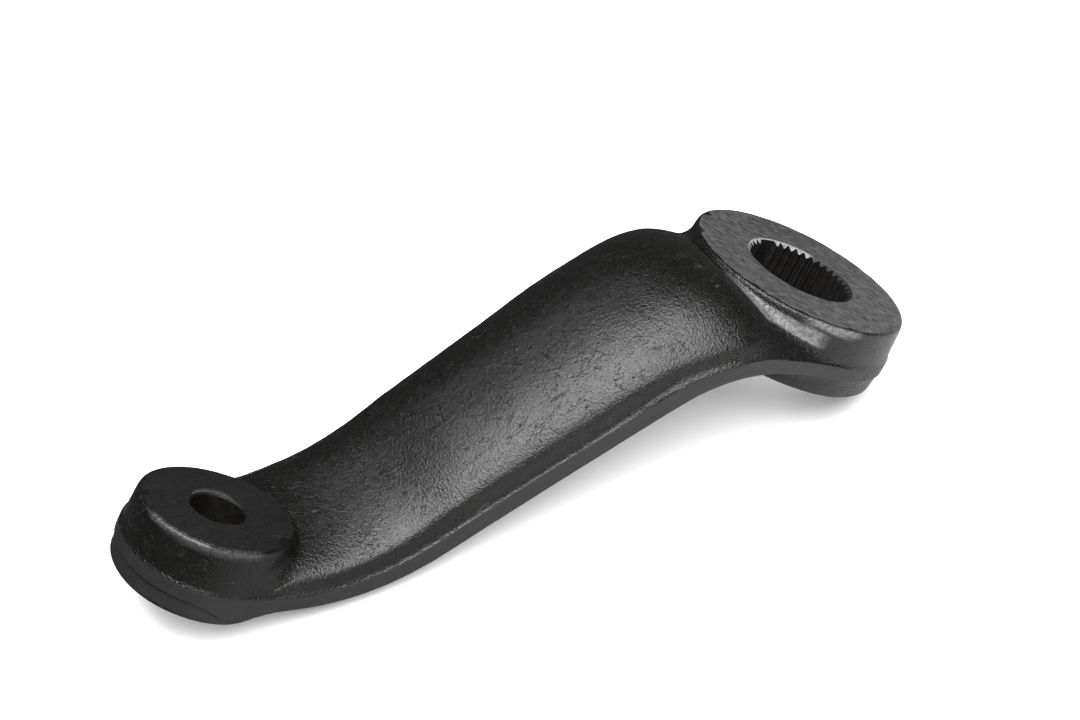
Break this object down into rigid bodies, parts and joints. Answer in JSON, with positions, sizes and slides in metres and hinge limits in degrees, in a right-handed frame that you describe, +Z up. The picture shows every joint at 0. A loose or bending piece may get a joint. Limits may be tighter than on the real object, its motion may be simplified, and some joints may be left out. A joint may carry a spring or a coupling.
{
  "type": "pitman arm",
  "caption": "Forged steel steering arm with an S-bend, a splined boss for the sector shaft and a tapered hole for a ball stud, painted satin black.",
  "frame": {"origin": "centre of the bounding box on the floor that the arm lies on", "axes": "+X along the arm from the tapered hole to the splined bore, +Y across it, +Z up; the arm lies as it comes to rest, so its bores lean towards +X"},
  "size_m": [0.2374, 0.0678, 0.0539],
  "materials": {
    "black_paint": "satin-gloss black paint over forging scale"
  },
  "bodies": {
    "root": {"pitman_arm": "black_paint"}
  },
  "joints": []
}
